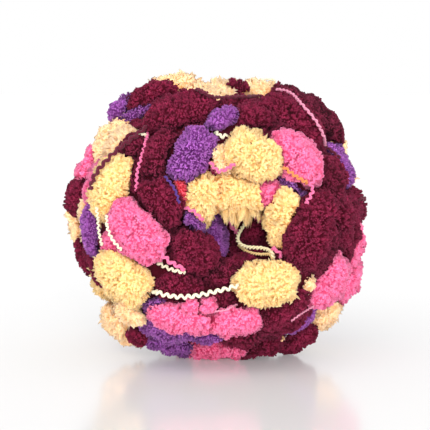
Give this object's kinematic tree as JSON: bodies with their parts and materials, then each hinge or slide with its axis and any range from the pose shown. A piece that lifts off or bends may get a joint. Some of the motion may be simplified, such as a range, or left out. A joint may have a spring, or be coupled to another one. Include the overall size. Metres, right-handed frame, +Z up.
{
  "type": "pom pom yarn",
  "caption": "Wound ball of pom pom yarn: plump soft puffs in wine, pink, yellow and purple on a thin wavy chain, turned round an open centre hollow.",
  "frame": {"origin": "on the surface the ball stands on, under the middle of its width and depth", "axes": "+Z up out of the flat spot it stands on; the hollow that the inner end is drawn from opens towards -Y; +X to the right when the hollow faces the viewer"},
  "size_m": [0.1924, 0.161, 0.1817],
  "materials": {
    "wine_pile": "deep soft pile",
    "pink_pile": "deep soft pile",
    "yellow_pile": "deep soft pile",
    "purple_pile": "deep soft pile",
    "chain": "twisted thread"
  },
  "bodies": {
    "root": {"yarn_ball": "wine_pile"}
  },
  "joints": []
}
